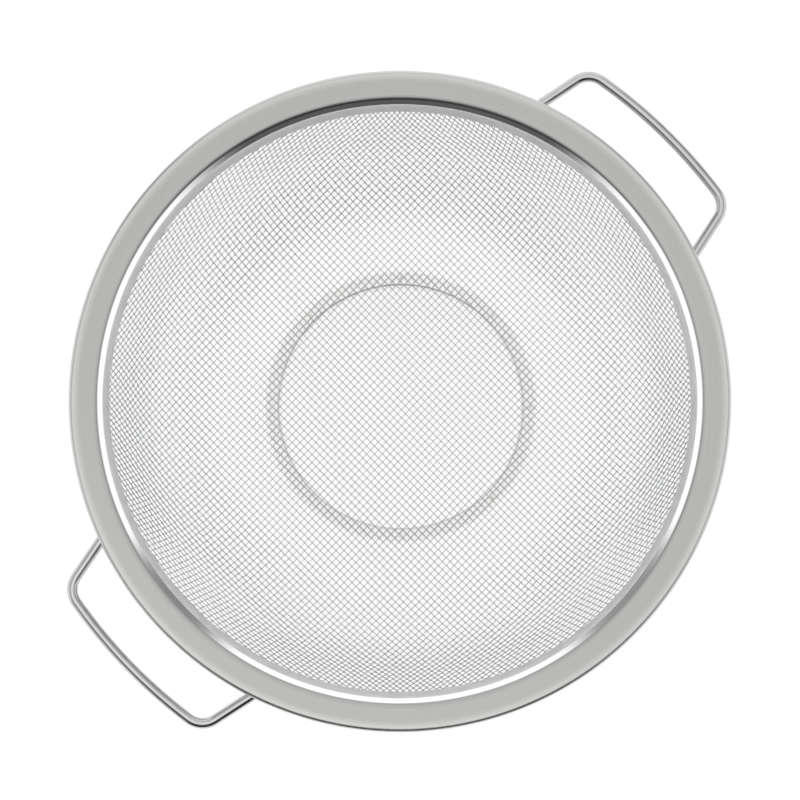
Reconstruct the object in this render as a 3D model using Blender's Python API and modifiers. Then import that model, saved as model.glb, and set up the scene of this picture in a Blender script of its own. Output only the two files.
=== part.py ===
"""A kitchen mesh strainer: a spun sheet rim, a woven wire bowl held under its lip by a clamp ring, a foot ring
and two bent wire handles, with the welds that join them.

Metres, +Z up. The origin is on the ground in the middle of the foot ring, and the handles lie along X.
In the profiles a point is (radius, height), and a turned piece is its profile spun about Z.
"""

import math

import bmesh
import bpy
from mathutils import Matrix, Vector

# Rim: a flat flange, a curl at its outer edge, a short sloping wall and a steeper lip over the mesh's edge
RIM_DIAMETER = 0.250
RIM_SHEET = 0.0008
FLANGE_WIDTH = 0.0103
CURL_HEIGHT = 0.0030
SHOULDER_RADIUS = 0.0026
RIM_WALL_SLOPE = math.radians(45.0)
RIM_WALL_DROP = 0.00265
LIP_LENGTH = 0.0046
LIP_BEND_RADIUS = 0.0010

# Mesh bowl: a shell as thick as two crossing wires, with a domed floor, a rounded side and a straight wall
MESH_WIRE = 0.00038
MESH_LAYERS = 2
MESH_EDGE_INSET = 0.0003
WALL_SLOPE = math.radians(64.0)
WALL_LENGTH = 0.0235
SIDE_RADIUS = 0.046
FLOOR_RADIUS = 0.600

# The shell has a plain grid of openings, whose bars run along and across the handles, and a closed band at its edge
GRID_BAR = 0.0042
CLOSED_BAND = 0.00355
LEAST_OPENING_SHARE = 0.3
BARS_TO_SPOT = 2

# Clamp ring: a sloping band under the edge of the mesh that holds it against the rim's lip
CLAMP_SHEET = 0.0005

# Foot ring: a sheet ring turned outwards at the top under the mesh, and at the ground
FOOT_SHEET = 0.0008
FOOT_WALL_RADIUS = 0.0486
FOOT_HEIGHT = 0.0125
FOOT_LIP_WIDTH = 0.0052
FOOT_BASE_WIDTH = 0.0026
FOOT_BEND_RADIUS = 0.0010

# Handles: one bent wire each, bowed outwards, that closes in under the rim and runs along the clamp ring
HANDLE_WIRE = 0.0040
HANDLE_STANDOFF = 0.0182
HANDLE_BOW_RADIUS = 0.198
HANDLE_HALF_WIDTH = 0.0364
HANDLE_CORNER_RADIUS = 0.0085
HANDLE_LEG_SPREAD = math.radians(11.6)
HANDLE_ROOT_RADIUS = 0.0060
HANDLE_WELD_RUN = 0.0140
HANDLE_SKEW = math.radians(0.5)

# Welds: a bead under each end of a handle, and flat spots in the mesh under the rim's lip and on the foot
BEAD_RADIUS = 0.0008
BEAD_LENGTH = 0.0100
BEAD_END_TAPER = 0.45
SPOT_RADIUS = 0.00065
LIP_SPOTS = 12
FOOT_SPOTS = 8

# Pieces that lie on each other keep this much air between them
FIT_GAP = 0.0003

# Facets around a turned piece, and straight steps in the bends of the profiles and the wires
TURN_FACETS = 72
CURL_STEPS = 9
BEND_STEPS = 3
SIDE_STEPS = 6
FLOOR_STEPS = 6
WIRE_STEPS = 6
WIRE_SIDE_DETAIL = 3
BEAD_STEPS = 6
SPOT_FACETS = 12
REACH_FACETS = 24
MERGE_DISTANCE = 0.00003

MODEL_NAME = "mesh_strainer"

MESH_THICKNESS = MESH_LAYERS * MESH_WIRE
FOOT_SPOT_CIRCLE = FOOT_WALL_RADIUS + FOOT_LIP_WIDTH / 2
# The bars lie so that every foot spot is on one: those between the axes are where two bars cross
GRID_PITCH = FOOT_SPOT_CIRCLE * math.sin(math.pi / 4) / BARS_TO_SPOT
DOWN_SLOPE = Vector((-math.cos(WALL_SLOPE), -math.sin(WALL_SLOPE)))
OFF_SLOPE = Vector((-math.sin(WALL_SLOPE), math.cos(WALL_SLOPE)))


def clear_scene():
    """Remove every object, so that the script can be run again."""
    for old in list(bpy.data.objects):
        bpy.data.objects.remove(old, do_unlink=True)


def new_collection(name):
    """Return a collection of this name, linked to the scene."""
    group = bpy.data.collections.get(name) or bpy.data.collections.new(name)
    if name not in bpy.context.scene.collection.children:
        bpy.context.scene.collection.children.link(group)
    return group


def steel(name, color, roughness):
    """Return a bare steel material."""
    material = bpy.data.materials.new(name)
    material.use_nodes = True
    shader = material.node_tree.nodes["Principled BSDF"]
    shader.inputs["Base Color"].default_value = (*color, 1.0)
    shader.inputs["Metallic"].default_value = 1.0
    shader.inputs["Roughness"].default_value = roughness
    return material


def arc(center, radius, start, end, steps):
    """Return the points of an arc, both ends included, with its angles in radians."""
    points = []
    for index in range(steps + 1):
        angle = start + (end - start) * index / steps
        points.append(center + radius * Vector((math.cos(angle), math.sin(angle))))
    return points


def rounded(before, corner, after, radius, steps):
    """Return the points of an arc that rounds the corner between two straight runs."""
    towards_start = (before - corner).normalized()
    towards_end = (after - corner).normalized()
    half_angle = towards_start.angle(towards_end) / 2
    tangent_length = radius / math.tan(half_angle)
    center = corner + (towards_start + towards_end).normalized() * radius / math.sin(half_angle)
    first = corner + towards_start * tangent_length - center
    last = corner + towards_end * tangent_length - center
    turn = math.atan2(first.cross(last), first.dot(last))
    start = math.atan2(first.y, first.x)
    return arc(center, radius, start, start + turn, steps)


def along_line_at_distance(start, direction, center, distance):
    """Return the first point along a line that is this far from the center."""
    offset = start - center
    half_b = offset.dot(direction)
    root = math.sqrt(half_b**2 - offset.length_squared + distance**2)
    nearest = min((step for step in (-half_b - root, -half_b + root) if step > 0), default=-half_b)
    return start + direction * nearest


class BowlShape:
    """The middle surface of the mesh, and the levels that follow from it."""

    def __init__(self):
        half_sheet = RIM_SHEET / 2
        shoulder_radius = RIM_DIAMETER / 2 - FLANGE_WIDTH + half_sheet * math.tan(RIM_WALL_SLOPE / 2)
        mesh_offset = half_sheet + MESH_THICKNESS / 2 + FIT_GAP
        wall_width = (RIM_WALL_DROP - half_sheet) / math.tan(RIM_WALL_SLOPE)
        corner = Vector((shoulder_radius - wall_width, 0.0))
        wall_end = corner - OFF_SLOPE * mesh_offset + DOWN_SLOPE * WALL_LENGTH
        side_center = wall_end + OFF_SLOPE * SIDE_RADIUS
        between_centers = FLOOR_RADIUS - SIDE_RADIUS
        self.floor_slope = math.asin(side_center.x / between_centers)
        floor_center = side_center.y + between_centers * math.cos(self.floor_slope)
        # The mesh rests on the foot ring, so the whole bowl is lifted until its floor meets the ring's lip
        foot_slope = self.slope_above_foot()
        floor_above_foot = floor_center - FLOOR_RADIUS * math.cos(foot_slope)
        lift = FOOT_HEIGHT + FIT_GAP + MESH_THICKNESS / 2 - floor_above_foot
        self.shoulder_radius = shoulder_radius
        self.openings_reach = RIM_DIAMETER / 2 - FLANGE_WIDTH - RIM_WALL_DROP / math.tan(RIM_WALL_SLOPE) - CLOSED_BAND
        self.mesh_offset = mesh_offset
        self.clamp_offset = mesh_offset + (MESH_THICKNESS + CLAMP_SHEET) / 2 + FIT_GAP
        self.lip_corner = corner + Vector((0.0, lift))
        self.side_center = side_center + Vector((0.0, lift))
        self.floor_center = Vector((0.0, floor_center + lift))
        self.rim_top = self.lip_corner.y + RIM_WALL_DROP

    def slope_above_foot(self):
        """Return the slope of the mesh over the middle of the foot ring's lip."""
        return math.asin(FOOT_SPOT_CIRCLE / FLOOR_RADIUS)

    def under_lip(self, along, under):
        """Return the point this far down the lip from its corner, and this far under its middle surface."""
        return self.lip_corner + DOWN_SLOPE * along - OFF_SLOPE * under

    def beside_clamp(self, level, distance):
        """Return the point at this level that is this far off the clamp ring's outer face."""
        under = self.clamp_offset + CLAMP_SHEET / 2 + distance
        drop = self.lip_corner.y - level - under * math.cos(WALL_SLOPE)
        return self.under_lip(drop / math.sin(WALL_SLOPE), under)

    def mesh_profile(self):
        """Return the mesh's middle line, from the middle of the floor up to its edge under the clamp ring."""
        down = -math.pi / 2
        foot_slope = self.slope_above_foot()
        inner = arc(self.floor_center, FLOOR_RADIUS, down, down + foot_slope, FLOOR_STEPS - 2)
        outer = arc(self.floor_center, FLOOR_RADIUS, down + foot_slope, down + self.floor_slope, 2)
        side = arc(self.side_center, SIDE_RADIUS, down + self.floor_slope, down + WALL_SLOPE, SIDE_STEPS)
        edge = self.under_lip(MESH_EDGE_INSET, self.mesh_offset)
        return inner + outer[1:] + side[1:] + [edge]


def turned(name, profile, material, group):
    """Return a ring or a bowl: the profile, an open line, spun about Z into a surface."""
    mesh = bpy.data.meshes.new(name)
    points = [(point.x, 0.0, point.y) for point in profile]
    mesh.from_pydata(points, [(index, index + 1) for index in range(len(points) - 1)], [])
    mesh.materials.append(material)
    piece = bpy.data.objects.new(name, mesh)
    group.objects.link(piece)
    spin = piece.modifiers.new("spin", "SCREW")
    spin.axis = "Z"
    spin.angle = math.tau
    spin.steps = TURN_FACETS
    spin.render_steps = TURN_FACETS
    spin.use_merge_vertices = True
    spin.merge_threshold = MERGE_DISTANCE
    spin.use_smooth_shade = True
    return piece


def thicken(piece, thickness):
    """Give a turned surface the thickness of its sheet, half to each side."""
    shell = piece.modifiers.new("sheet", "SOLIDIFY")
    shell.thickness = thickness
    shell.offset = 0.0
    shell.use_even_offset = True
    shell.use_rim = True


def build_rim(shape, material, group):
    """The spun sheet rim: curl, flange, shoulder, sloping wall and the lip over the mesh."""
    curl_radius = (CURL_HEIGHT - RIM_SHEET) / 2
    curl_center = Vector((RIM_DIAMETER / 2 - CURL_HEIGHT / 2, shape.rim_top - CURL_HEIGHT / 2))
    curl = arc(curl_center, curl_radius, -math.pi, math.pi / 2, CURL_STEPS)
    flange_level = shape.rim_top - RIM_SHEET / 2
    shoulder = Vector((shape.shoulder_radius, flange_level))
    lip_end = shape.under_lip(LIP_LENGTH, 0.0)
    bent_in = rounded(curl[-1], shoulder, shape.lip_corner, SHOULDER_RADIUS - RIM_SHEET / 2, BEND_STEPS)
    bent_to_lip = rounded(shoulder, shape.lip_corner, lip_end, LIP_BEND_RADIUS, BEND_STEPS - 1)
    rim = turned("rim", curl + bent_in + bent_to_lip + [lip_end], material, group)
    thicken(rim, RIM_SHEET)
    return rim


def build_clamp_ring(shape, material, group):
    """The band that presses the edge of the mesh up against the lip."""
    top = shape.under_lip(MESH_EDGE_INSET, shape.clamp_offset)
    foot = shape.under_lip(LIP_LENGTH, shape.clamp_offset)
    ring = turned("clamp_ring", [top, foot], material, group)
    thicken(ring, CLAMP_SHEET)
    return ring


def spot_places(shape):
    """Return the welded spots, each as its name, its place, its slope and its turn about Z."""
    places = []
    behind_lip = shape.under_lip((MESH_EDGE_INSET + LIP_LENGTH) / 2, shape.mesh_offset)
    for index in range(LIP_SPOTS):
        turn = math.tau * (index + 0.5) / LIP_SPOTS
        places.append((f"rim_spot_weld_{index + 1:02d}", behind_lip, WALL_SLOPE, turn))
    foot_slope = shape.slope_above_foot()
    on_foot = shape.floor_center + FLOOR_RADIUS * Vector((math.sin(foot_slope), -math.cos(foot_slope)))
    for index in range(FOOT_SPOTS):
        turn = math.tau * index / FOOT_SPOTS
        places.append((f"foot_spot_weld_{index + 1:02d}", on_foot, foot_slope, turn))
    return places


def spot_rotation(slope, turn):
    """Return the rotation of a spot whose own Z stands square on the mesh."""
    return Matrix.Rotation(turn, 4, "Z") @ Matrix.Rotation(-slope, 4, "Y")


def add_disc(form, radius, height, place):
    """Add a short round disc to a bmesh, turned so that none of its corners lies on the mesh's own edges."""
    half_facet = Matrix.Rotation(math.pi / SPOT_FACETS, 4, "Z")
    bmesh.ops.create_cone(
        form,
        cap_ends=True,
        segments=SPOT_FACETS,
        radius1=radius,
        radius2=radius,
        depth=height,
        matrix=place @ half_facet,
    )


def spot_center(point, turn):
    """Return the place of a profile point after its turn about Z."""
    return Matrix.Rotation(turn, 4, "Z") @ Vector((point.x, 0.0, point.y))


def build_spot_welds(shape, material, group):
    """The fused spots: flat discs as thick as the mesh, each in its own hole in it."""
    form = bmesh.new()
    add_disc(form, SPOT_RADIUS, MESH_THICKNESS, Matrix.Identity(4))
    mesh = bpy.data.meshes.new("spot_weld")
    form.to_mesh(mesh)
    form.free()
    mesh.materials.append(material)
    for name, point, slope, turn in spot_places(shape):
        spot = bpy.data.objects.new(name, mesh)
        spot.location = spot_center(point, turn)
        spot.rotation_euler = spot_rotation(slope, turn).to_euler()
        group.objects.link(spot)


def clipped(outline, normal, reach):
    """Return the part of a convex outline on the near side of a line at this distance from the middle."""
    kept = []
    for start, end in zip(outline, outline[1:] + outline[:1]):
        start_over = start.dot(normal) - reach
        end_over = end.dot(normal) - reach
        if start_over <= 0:
            kept.append(start)
        if start_over * end_over < 0:
            kept.append(start.lerp(end, start_over / (start_over - end_over)))
    return kept


def outline_area(outline):
    """Return the area of an outline, counterclockwise."""
    return sum(start.cross(end) for start, end in zip(outline, outline[1:] + outline[:1])) / 2


def opening_outlines(reach):
    """Return the openings of the grid as outlines seen from above, those at the edge cut off round."""
    cells = math.ceil(reach / GRID_PITCH)
    size = GRID_PITCH - GRID_BAR
    outlines = []
    for column in range(-cells, cells):
        for row in range(-cells, cells):
            low = Vector((column, row)) * GRID_PITCH + Vector((GRID_BAR, GRID_BAR)) / 2
            outline = [low + Vector(step) * size for step in ((0, 0), (1, 0), (1, 1), (0, 1))]
            for side in range(REACH_FACETS):
                angle = math.tau * (side + 0.5) / REACH_FACETS
                outline = clipped(outline, Vector((math.cos(angle), math.sin(angle))), reach)
            if outline_area(outline) > LEAST_OPENING_SHARE * size**2:
                outlines.append(outline)
    return outlines


def add_upright(form, outline, bottom, top):
    """Add an upright block with this outline to a bmesh."""
    floor = [form.verts.new((point.x, point.y, bottom)) for point in outline]
    roof = [form.verts.new((point.x, point.y, top)) for point in outline]
    form.faces.new(list(reversed(floor)))
    form.faces.new(roof)
    for index in range(len(outline)):
        following = (index + 1) % len(outline)
        form.faces.new((floor[index], floor[following], roof[following], roof[index]))


def build_hole_cutter(shape, cutters):
    """The openings of the grid and the holes that the spots leave in the mesh shell, as one cutter."""
    form = bmesh.new()
    for _, point, slope, turn in spot_places(shape):
        place = Matrix.Translation(spot_center(point, turn)) @ spot_rotation(slope, turn)
        add_disc(form, SPOT_RADIUS + FIT_GAP, 2 * MESH_THICKNESS, place)
    for outline in opening_outlines(shape.openings_reach):
        add_upright(form, outline, 0.0, shape.rim_top)
    mesh = bpy.data.meshes.new("mesh_holes")
    form.to_mesh(mesh)
    form.free()
    cutter = bpy.data.objects.new("mesh_holes", mesh)
    cutter.hide_render = True
    cutter.display_type = "WIRE"
    cutters.objects.link(cutter)
    return cutter


def build_mesh_bowl(shape, material, group, cutters):
    """The woven bowl, as a shell of its own thickness with a plain grid of openings and the spot welds' holes."""
    bowl = turned("mesh_bowl", shape.mesh_profile(), material, group)
    thicken(bowl, MESH_THICKNESS)
    holes = bowl.modifiers.new("mesh_holes", "BOOLEAN")
    holes.operation = "DIFFERENCE"
    holes.solver = "EXACT"
    holes.object = build_hole_cutter(shape, cutters)
    # Corners of the openings that fall on the shell's own edges leave slivers, which this closes
    weld = bowl.modifiers.new("weld", "WELD")
    weld.merge_threshold = MERGE_DISTANCE
    return bowl


def build_foot_ring(shape, material, group):
    """The ring that the bowl stands on, with a lip that follows the mesh and a flat base."""
    slope = shape.slope_above_foot()
    to_lip = MESH_THICKNESS / 2 + FIT_GAP + FOOT_SHEET / 2
    lip_middle = shape.floor_center + (FLOOR_RADIUS + to_lip) * Vector((math.sin(slope), -math.cos(slope)))
    along_lip = Vector((math.cos(slope), math.sin(slope)))
    wall_top = lip_middle + along_lip * (FOOT_WALL_RADIUS - lip_middle.x) / along_lip.x
    lip_edge = wall_top + along_lip * FOOT_LIP_WIDTH
    wall_foot = Vector((FOOT_WALL_RADIUS, FOOT_SHEET / 2))
    base_edge = wall_foot + Vector((FOOT_BASE_WIDTH, 0.0))
    top_bend = rounded(lip_edge, wall_top, wall_foot, FOOT_BEND_RADIUS, BEND_STEPS)
    base_bend = rounded(wall_top, wall_foot, base_edge, FOOT_BEND_RADIUS, BEND_STEPS)
    ring = turned("foot_ring", [lip_edge] + top_bend + base_bend + [base_edge], material, group)
    thicken(ring, FOOT_SHEET)
    return ring


class HandleShape:
    """The middle line of one handle, seen from above, with X pointing out of the rim."""

    def __init__(self, shape):
        self.level = shape.rim_top - CURL_HEIGHT - FIT_GAP - HANDLE_WIRE / 2
        self.root = shape.beside_clamp(self.level, FIT_GAP + HANDLE_WIRE / 2)
        bow_center = Vector((RIM_DIAMETER / 2 + HANDLE_STANDOFF - HANDLE_BOW_RADIUS, 0.0))
        corner_x = bow_center.x + math.sqrt(HANDLE_BOW_RADIUS**2 - HANDLE_HALF_WIDTH**2)
        corner = Vector((corner_x, HANDLE_HALF_WIDTH))
        inward = Vector((-math.cos(HANDLE_LEG_SPREAD), math.sin(HANDLE_LEG_SPREAD)))
        outer_side = Vector((math.sin(HANDLE_LEG_SPREAD), math.cos(HANDLE_LEG_SPREAD)))
        bend_center = along_line_at_distance(
            corner - outer_side * HANDLE_CORNER_RADIUS,
            inward,
            bow_center,
            HANDLE_BOW_RADIUS - HANDLE_CORNER_RADIUS,
        )
        root_distance = self.root.x + HANDLE_ROOT_RADIUS
        root_center = along_line_at_distance(
            corner + outer_side * HANDLE_ROOT_RADIUS, inward, Vector((0.0, 0.0)), root_distance
        )
        self.run_start = math.atan2(root_center.y, root_center.x)
        self.run_end = self.run_start + HANDLE_WELD_RUN / self.root.x
        bow_end = math.atan2(bend_center.y - bow_center.y, bend_center.x - bow_center.x)
        leg_angle = math.pi / 2 - HANDLE_LEG_SPREAD
        bow = arc(bow_center, HANDLE_BOW_RADIUS, 0.0, bow_end, WIRE_STEPS)
        corner_bend = arc(bend_center, HANDLE_CORNER_RADIUS, bow_end, leg_angle, WIRE_STEPS)
        root_bend = arc(
            root_center, HANDLE_ROOT_RADIUS, leg_angle - math.pi, self.run_start - math.pi, WIRE_STEPS - 1
        )
        run = arc(Vector((0.0, 0.0)), self.root.x, self.run_start, self.run_end, WIRE_STEPS - 2)
        self.half = bow + corner_bend[1:] + root_bend + run[1:]

    def points(self):
        """Return the whole middle line, from one welded end round to the other."""
        mirrored = [Vector((point.x, -point.y)) for point in reversed(self.half[1:])]
        return mirrored + self.half


def wire(name, points, level, radius, tapers, side_detail, material, group):
    """Return a round wire through the points at one level, thinned by each point's taper."""
    curve = bpy.data.curves.new(name, "CURVE")
    curve.dimensions = "3D"
    curve.bevel_depth = radius
    curve.bevel_resolution = side_detail
    curve.use_fill_caps = True
    spline = curve.splines.new("POLY")
    spline.points.add(len(points) - 1)
    for knot, point, taper in zip(spline.points, points, tapers):
        knot.co = (point.x, point.y, level, 1.0)
        knot.radius = taper
    spline.use_smooth = True
    curve.materials.append(material)
    piece = bpy.data.objects.new(name, curve)
    group.objects.link(piece)
    return piece


def build_weld_bead(name, handle, side, material, group):
    """The bead that fills the corner between the clamp ring and the end of a handle, under the wire."""
    closer = HANDLE_WIRE / 2 - BEAD_RADIUS
    apart = HANDLE_WIRE / 2 + BEAD_RADIUS + FIT_GAP
    place = handle.root + DOWN_SLOPE * math.sqrt(apart**2 - closer**2) + OFF_SLOPE * closer
    middle = (handle.run_start + handle.run_end) / 2
    half_turn = BEAD_LENGTH / place.x / 2
    points = arc(Vector((0.0, 0.0)), place.x, side * (middle - half_turn), side * (middle + half_turn), BEAD_STEPS)
    tapers = [1.0] * len(points)
    tapers[0] = BEAD_END_TAPER
    tapers[-1] = BEAD_END_TAPER
    return wire(name, points, place.y, BEAD_RADIUS, tapers, WIRE_SIDE_DETAIL - 1, material, group)


def build_handle(name, turn, shape, wire_steel, weld_steel, group):
    """One handle with its two weld beads, carried by an empty that turns them to their side of the rim."""
    side_of_rim = bpy.data.objects.new(f"{name}_side", None)
    side_of_rim.rotation_euler.z = turn
    group.objects.link(side_of_rim)
    handle = HandleShape(shape)
    points = handle.points()
    loop = wire(name, points, handle.level, HANDLE_WIRE / 2, [1.0] * len(points), WIRE_SIDE_DETAIL, wire_steel, group)
    loop.parent = side_of_rim
    for side, end in ((1, "a"), (-1, "b")):
        bead = build_weld_bead(f"{name}_weld_{end}", handle, side, weld_steel, group)
        bead.parent = side_of_rim


def main():
    """Build the strainer."""
    clear_scene()
    group = new_collection(MODEL_NAME)
    cutters = new_collection(f"{MODEL_NAME}_cutters")
    satin = steel("satin_steel", (0.55, 0.55, 0.54), 0.38)
    matte = steel("matte_steel", (0.50, 0.50, 0.50), 0.50)
    bright = steel("bright_wire", (0.70, 0.70, 0.70), 0.25)
    polished = steel("polished_wire", (0.74, 0.74, 0.74), 0.10)
    weld = steel("weld_steel", (0.42, 0.41, 0.40), 0.55)
    shape = BowlShape()
    build_rim(shape, satin, group)
    build_clamp_ring(shape, matte, group)
    build_mesh_bowl(shape, bright, group, cutters)
    build_foot_ring(shape, satin, group)
    build_spot_welds(shape, weld, group)
    build_handle("handle_right", HANDLE_SKEW, shape, polished, weld, group)
    build_handle("handle_left", math.pi - HANDLE_SKEW, shape, polished, weld, group)


main()
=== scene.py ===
"""Mesh strainer seen from above: a brushed steel rim, a woven wire bowl, a foot ring and two wire handles.

Metres, in the frame of the CAD model: the origin is on the ground in the middle of the foot ring, the handles
lie along X and Z is up. In a profile a point is (radius, height).
"""

import logging
import math
from dataclasses import dataclass, field
from enum import Enum

import bpy
import numpy as np
from mathutils import Matrix, Vector


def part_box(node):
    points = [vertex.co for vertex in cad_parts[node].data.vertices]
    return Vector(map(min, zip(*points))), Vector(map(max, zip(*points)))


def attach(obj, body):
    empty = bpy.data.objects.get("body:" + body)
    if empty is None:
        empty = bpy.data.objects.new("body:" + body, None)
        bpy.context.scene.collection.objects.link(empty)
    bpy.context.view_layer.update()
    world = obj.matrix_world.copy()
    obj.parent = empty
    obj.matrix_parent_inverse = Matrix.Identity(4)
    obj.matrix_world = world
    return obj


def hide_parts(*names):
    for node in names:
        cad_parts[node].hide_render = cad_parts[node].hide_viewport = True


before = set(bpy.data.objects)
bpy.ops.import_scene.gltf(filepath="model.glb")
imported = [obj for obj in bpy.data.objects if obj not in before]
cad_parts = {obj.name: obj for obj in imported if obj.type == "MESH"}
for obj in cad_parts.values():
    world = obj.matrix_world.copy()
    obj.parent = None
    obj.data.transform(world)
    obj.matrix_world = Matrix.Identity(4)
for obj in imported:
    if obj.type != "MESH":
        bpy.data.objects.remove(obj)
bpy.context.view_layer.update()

BODY = "root"

# The way up in the picture and the turn of the handles, both as angles about Z from X
IMAGE_UP = math.radians(45.1)
HANDLE_SKEW = math.radians(0.5)

# The bend from which an edge stays sharp
SHARP_ANGLE = math.radians(50.0)

# The range in which most values of a noise texture lie
NOISE_LOW = 0.3
NOISE_HIGH = 0.7

# A length or a scale below this counts as none
TINY = 1e-12

log = logging.getLogger("mesh_strainer")

Term = bpy.types.NodeSocket | float


class Slot(Enum):
    """The material slots."""

    SATIN = "satin_steel"
    MATTE = "matte_steel"
    WIRE = "bright_wire"
    POLISHED = "polished_wire"
    WELD = "weld_steel"


class Grain(Enum):
    """Which way the fine marks of a finish run."""

    ROUND = "in rings about the strainer's middle"
    CLOUDY = "the same every way"


class NodeBoard:
    """A node tree, with short calls to add nodes and to join them."""

    def __init__(self, owner: bpy.types.ID, shader: str) -> None:
        """Take hold of a material's or a world's nodes.

        Args:
            owner: The material or the world.
            shader: The name of the shader node that it starts with.
        """
        owner.use_nodes = True
        self.tree = owner.node_tree
        self.shader = self.tree.nodes[shader]

    def add(self, kind: str, **settings: object) -> bpy.types.Node:
        """Add a node.

        Args:
            kind: The node's type, such as ShaderNodeMath.
            settings: Its own properties, such as operation.

        Returns:
            The node.
        """
        node = self.tree.nodes.new(kind)
        for name, value in settings.items():
            setattr(node, name, value)
        return node

    def join(self, output: bpy.types.NodeSocket, entry: bpy.types.NodeSocket) -> None:
        """Link an output to an input."""
        self.tree.links.new(output, entry)

    def math(self, operation: str, first: Term, second: Term = 0.0) -> bpy.types.NodeSocket:
        """Join two sockets or numbers by a Math node.

        Args:
            operation: The Math node's operation.
            first: A socket or a number.
            second: A socket or a number, where the operation takes two.

        Returns:
            The result's socket.
        """
        node = self.add("ShaderNodeMath", operation=operation)
        for entry, value in zip(node.inputs, (first, second)):
            if isinstance(value, bpy.types.NodeSocket):
                self.join(value, entry)
            else:
                entry.default_value = value
        return node.outputs[0]

    def ramp(
        self,
        value: bpy.types.NodeSocket,
        start: float,
        end: float,
        low: float = 0.0,
        high: float = 1.0,
        course: str = "SMOOTHSTEP",
    ) -> bpy.types.NodeSocket:
        """Go from low to high while a value goes from start to end.

        Args:
            value: The value's socket.
            start: Where the way from low to high starts.
            end: Where it ends.
            low: The result up to the start.
            high: The result from the end on.
            course: The Map Range node's interpolation between them.

        Returns:
            The result's socket.
        """
        node = self.add("ShaderNodeMapRange", interpolation_type=course)
        self.join(value, node.inputs["Value"])
        for name, number in (("From Min", start), ("From Max", end), ("To Min", low), ("To Max", high)):
            node.inputs[name].default_value = number
        return node.outputs["Result"]

    def spread(self, value: bpy.types.NodeSocket, low: float, high: float) -> bpy.types.NodeSocket:
        """Map a noise value on the range from low to high."""
        return self.ramp(value, NOISE_LOW, NOISE_HIGH, low, high, "LINEAR")

    def radius(self, parts: bpy.types.Node) -> bpy.types.NodeSocket:
        """Return the distance from the Z axis of the point whose parts these are."""
        squares = [self.math("MULTIPLY", parts.outputs[axis], parts.outputs[axis]) for axis in (0, 1)]
        return self.math("SQRT", self.math("ADD", *squares))


def new_material(name: str) -> tuple[bpy.types.Material, NodeBoard]:
    """Return a new material with a bare Principled shader, and its nodes."""
    material = bpy.data.materials.new(name)
    return material, NodeBoard(material, "Principled BSDF")


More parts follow.
